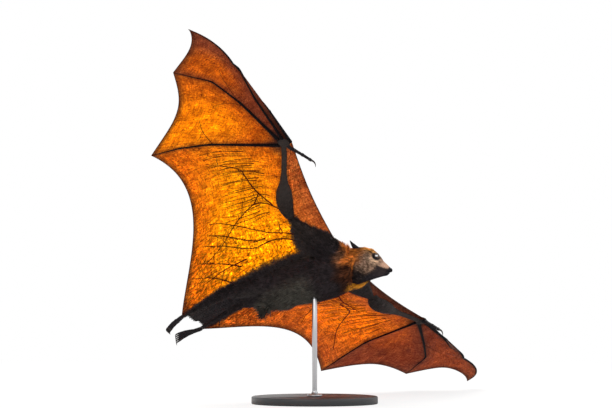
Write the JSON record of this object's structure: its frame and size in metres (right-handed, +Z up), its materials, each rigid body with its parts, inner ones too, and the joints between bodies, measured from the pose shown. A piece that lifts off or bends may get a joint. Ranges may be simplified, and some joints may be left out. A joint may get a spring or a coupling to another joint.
{
  "type": "flying fox bat on a display stand",
  "caption": "Life-size flying fox in banked flight with spread translucent orange-brown wings, dark fur and a rufous collar, held still on a plain rod and round base.",
  "frame": {"origin": "centre of the underside of the stand's round base, on the floor", "axes": "+Z up, +X the way the bat flies seen from the side, +Y away from the side it shows, towards its lowered left wing"},
  "size_m": [0.5155, 0.9289, 0.6026],
  "materials": {
    "body_fur": "dense short fur, very dark brown",
    "collar_fur": "longer rufous mane",
    "face_fur": "short grey-brown fur",
    "bare_skin": "bare black skin, slightly shiny",
    "wing_membrane": "thin wing skin, amber where light passes through",
    "eye": "dark brown, wet gloss",
    "claw": "dark horn",
    "stand_base": "satin dark grey",
    "stand_rod": "satin dark grey"
  },
  "bodies": {
    "root": {"trunk": "body_fur", "neck": "collar_fur", "head": "face_fur", "nose": "bare_skin", "eye_left": "eye", "ear_left": "bare_skin", "upper_arm_left": "body_fur", "forearm_left": "bare_skin", "wrist_left": "bare_skin", "thumb_left": "bare_skin", "thumb_claw_left": "claw", "finger_2_left": "bare_skin", "finger_3_left": "bare_skin", "finger_4_left": "bare_skin", "finger_5_left": "bare_skin", "thigh_left": "body_fur", "shin_left": "body_fur", "foot_left": "bare_skin", "web_front_left": "wing_membrane", "web_2_3_left": "wing_membrane", "web_3_4_left": "wing_membrane", "web_4_5_left": "wing_membrane", "web_main_left": "wing_membrane", "web_leg_left": "wing_membrane", "eye_right": "eye", "ear_right": "bare_skin", "upper_arm_right": "body_fur", "forearm_right": "bare_skin", "wrist_right": "bare_skin", "thumb_right": "bare_skin", "thumb_claw_right": "claw", "finger_2_right": "bare_skin", "finger_3_right": "bare_skin", "finger_4_right": "bare_skin", "finger_5_right": "bare_skin", "thigh_right": "body_fur", "shin_right": "body_fur", "foot_right": "bare_skin", "web_front_right": "wing_membrane", "web_2_3_right": "wing_membrane", "web_3_4_right": "wing_membrane", "web_4_5_right": "wing_membrane", "web_main_right": "wing_membrane", "web_leg_right": "wing_membrane", "stand_base": "stand_base", "stand_rod": "stand_rod"}
  },
  "joints": []
}
